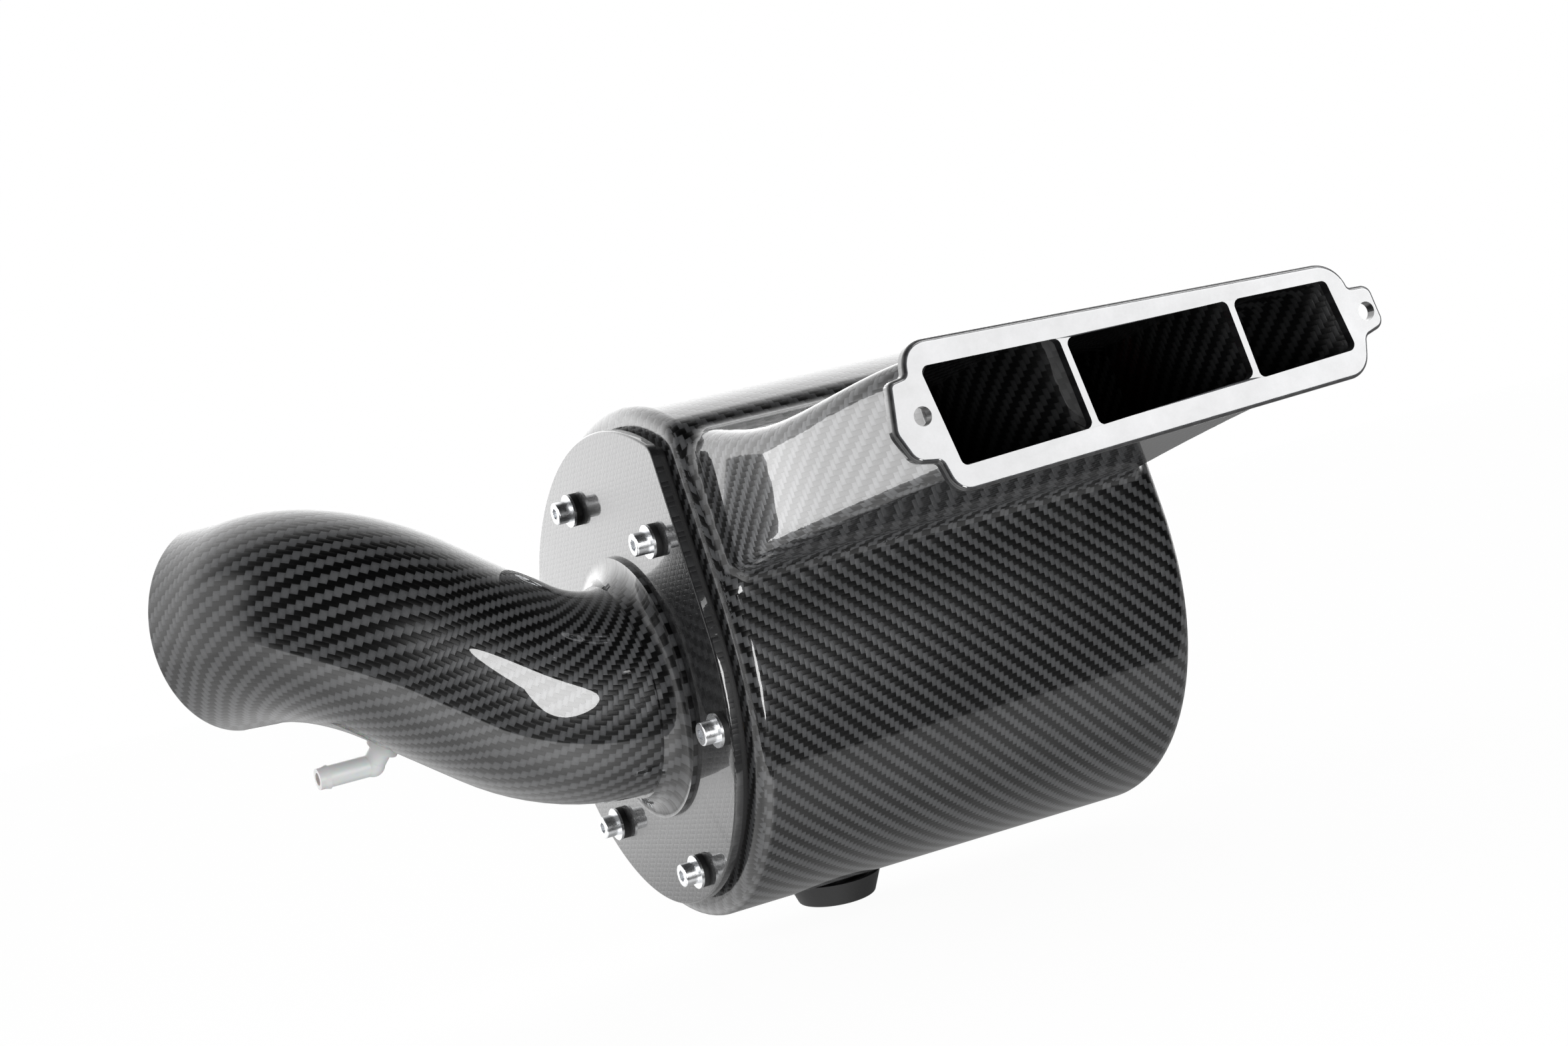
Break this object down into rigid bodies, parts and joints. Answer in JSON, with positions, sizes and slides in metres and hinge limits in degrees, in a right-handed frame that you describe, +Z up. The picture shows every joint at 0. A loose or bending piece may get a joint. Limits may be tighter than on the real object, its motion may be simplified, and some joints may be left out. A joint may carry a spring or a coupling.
{
  "type": "engine air intake box",
  "caption": "Carbon-fibre cold-air intake box: cylindrical housing with a bolted lid, S-bend outlet pipe, wide windowed inlet duct and a cone filter inside.",
  "frame": {"origin": "middle of the line between the inlet flange's two fixing holes, on the flange's front face", "axes": "+Z up, -Y out of the inlet flange, +X along the box's axis from the lid to the closed end"},
  "size_m": [0.3937, 0.2935, 0.2051],
  "materials": {
    "carbon_fibre": "black twill carbon fibre under a thick gloss clear coat",
    "zinc_steel": "bright zinc plated",
    "black_rubber": "matte black",
    "brass_insert": "machined",
    "white_nylon": "natural translucent nylon",
    "filter_rubber": "moulded satin",
    "filter_cotton": "oiled cotton gauze"
  },
  "bodies": {
    "housing": {"housing_barrel": "carbon_fibre", "inlet_duct": "carbon_fibre", "inlet_flange": "carbon_fibre", "inlet_vane_1": "carbon_fibre", "inlet_vane_2": "carbon_fibre", "lid_gasket": "black_rubber", "lid_inserts": "brass_insert", "rubber_foot": "black_rubber", "foot_screw": "zinc_steel", "foot_nut": "zinc_steel"},
    "lid_assembly": {"lid_plate": "carbon_fibre", "lid_bolts": "zinc_steel", "steel_washers": "zinc_steel", "rubber_washers": "black_rubber", "outlet_pipe_lower": "carbon_fibre", "outlet_pipe_middle": "carbon_fibre", "outlet_pipe_upper": "carbon_fibre", "pipe_collar": "carbon_fibre", "hose_barb": "white_nylon", "barb_boss": "white_nylon"},
    "filter": {"filter_neck": "filter_rubber", "filter_media": "filter_cotton", "filter_cap": "filter_rubber", "clamp_band": "zinc_steel", "clamp_housing": "zinc_steel", "clamp_screw": "zinc_steel"}
  },
  "joints": [
    {"name": "lid_slide", "type": "slide", "parent": "housing", "child": "lid_assembly", "axis": [-1, 0, 0], "range_m": [0, 0.16]},
    {"name": "filter_slide", "type": "slide", "parent": "lid_assembly", "child": "filter", "axis": [1, 0, 0], "range_m": [0, 0.03]}
  ]
}
